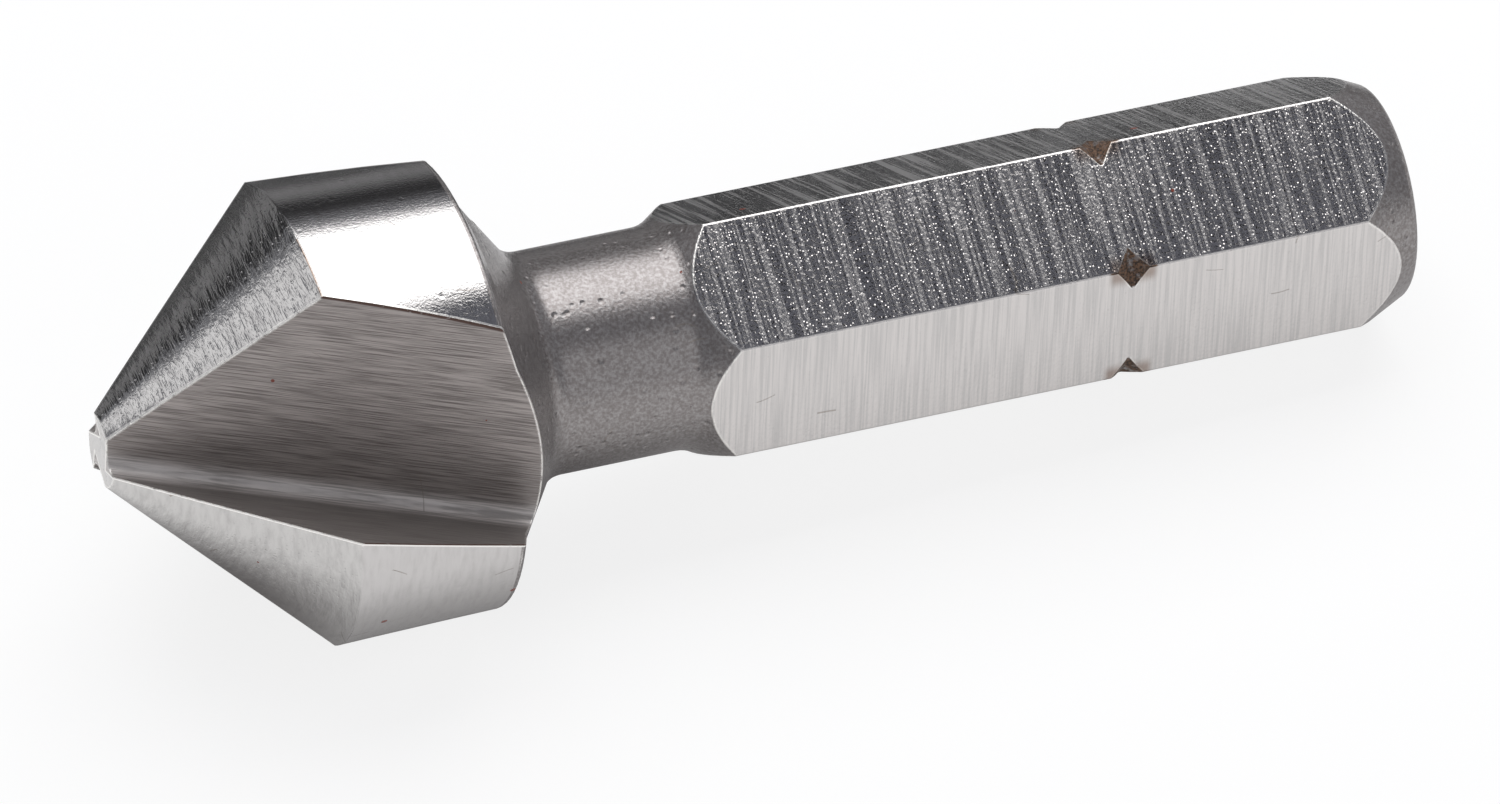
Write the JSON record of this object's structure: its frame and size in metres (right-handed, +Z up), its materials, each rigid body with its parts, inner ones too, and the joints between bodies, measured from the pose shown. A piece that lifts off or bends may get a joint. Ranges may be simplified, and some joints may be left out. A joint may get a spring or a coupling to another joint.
{
  "type": "countersink bit",
  "caption": "One-piece countersink bit: a fluted 90 degree conical cutting head on a turned neck and a hexagonal driving shank with detent notches.",
  "frame": {"origin": "centre of the footprint, on the table the bit lies on", "axes": "+X from the cutting tip towards the shank end, the tool axis dropping 4.3 degrees towards the shank; +Z up from the table; the bit lies on one flute and the shank's end"},
  "size_m": [0.036, 0.0124, 0.012],
  "materials": {
    "tool_steel": "ground and polished high-speed steel"
  },
  "bodies": {
    "root": {"countersink_bit": "tool_steel"}
  },
  "joints": []
}
